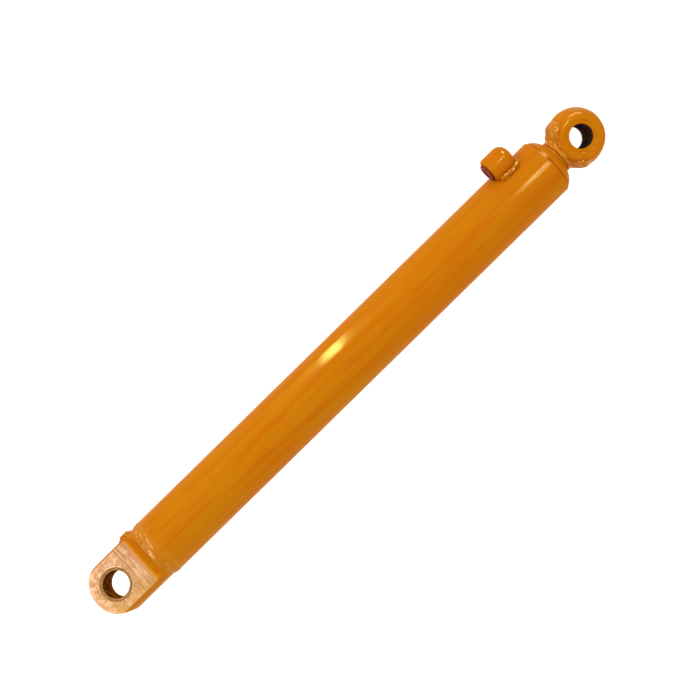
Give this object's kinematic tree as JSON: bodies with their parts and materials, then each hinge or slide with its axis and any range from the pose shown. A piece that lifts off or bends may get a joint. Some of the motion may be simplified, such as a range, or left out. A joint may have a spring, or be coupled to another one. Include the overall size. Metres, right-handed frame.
{
  "type": "hydraulic cylinder",
  "caption": "Welded double-acting hydraulic cylinder with a flat-sided base tang, a round rod eye, oil ports and a rod that extends and turns.",
  "frame": {"origin": "centre of the pin hole in the base tang", "axes": "+X along the cylinder to the rod eye, +Z along the base pin and square to the tang's flat faces"},
  "size_m": [0.8872, 0.0979, 0.0914],
  "materials": {
    "orange_paint": "gloss",
    "weld_paint": "gloss over weld ripples",
    "machined_steel": "milled, with a thin yellow-brown rust-preventive film",
    "bush_bronze": "turned and oiled",
    "bush_steel": "dark, hardened and oiled",
    "chrome_rod": "polished",
    "piston_iron": "turned",
    "hardware_steel": "black oxide",
    "rubber": "satin",
    "urethane": "satin",
    "phenolic": "matt",
    "plug_plastic": "satin"
  },
  "bodies": {
    "barrel": {"barrel_tube": "orange_paint", "base_cap": "machined_steel", "base_weld": "weld_paint", "base_bush": "bush_bronze", "base_port_boss": "orange_paint", "base_port_weld": "weld_paint", "base_port_plug": "orange_paint", "rod_port_boss": "orange_paint", "rod_port_weld": "weld_paint", "rod_port_plug": "plug_plastic", "gland": "orange_paint", "gland_o_ring": "rubber", "gland_backup_ring": "phenolic", "gland_lock_screw": "hardware_steel", "rod_wear_ring_front": "phenolic", "buffer_seal": "urethane", "rod_wear_ring_rear": "phenolic", "rod_seal": "urethane", "wiper_seal": "rubber"},
    "piston_seals": {"piston_wear_ring_rear": "phenolic", "piston_seal": "urethane", "piston_seal_expander": "rubber", "piston_wear_ring_front": "phenolic"},
    "rod": {"piston_rod": "chrome_rod", "piston": "piston_iron", "piston_nut": "hardware_steel", "piston_o_ring": "rubber", "rod_eye": "orange_paint", "rod_eye_weld": "weld_paint", "rod_eye_bush": "bush_steel", "rod_eye_seal_top": "rubber", "rod_eye_seal_bottom": "rubber"}
  },
  "joints": [
    {"name": "rod_slide", "type": "slide", "parent": "barrel", "child": "piston_seals", "axis": [1, 0, 0], "range_m": [0, 0.52]},
    {"name": "rod_turn", "type": "hinge", "parent": "piston_seals", "child": "rod", "pos_m": [0.143, 0, 0], "axis": [1, 0, 0], "continuous": true}
  ]
}
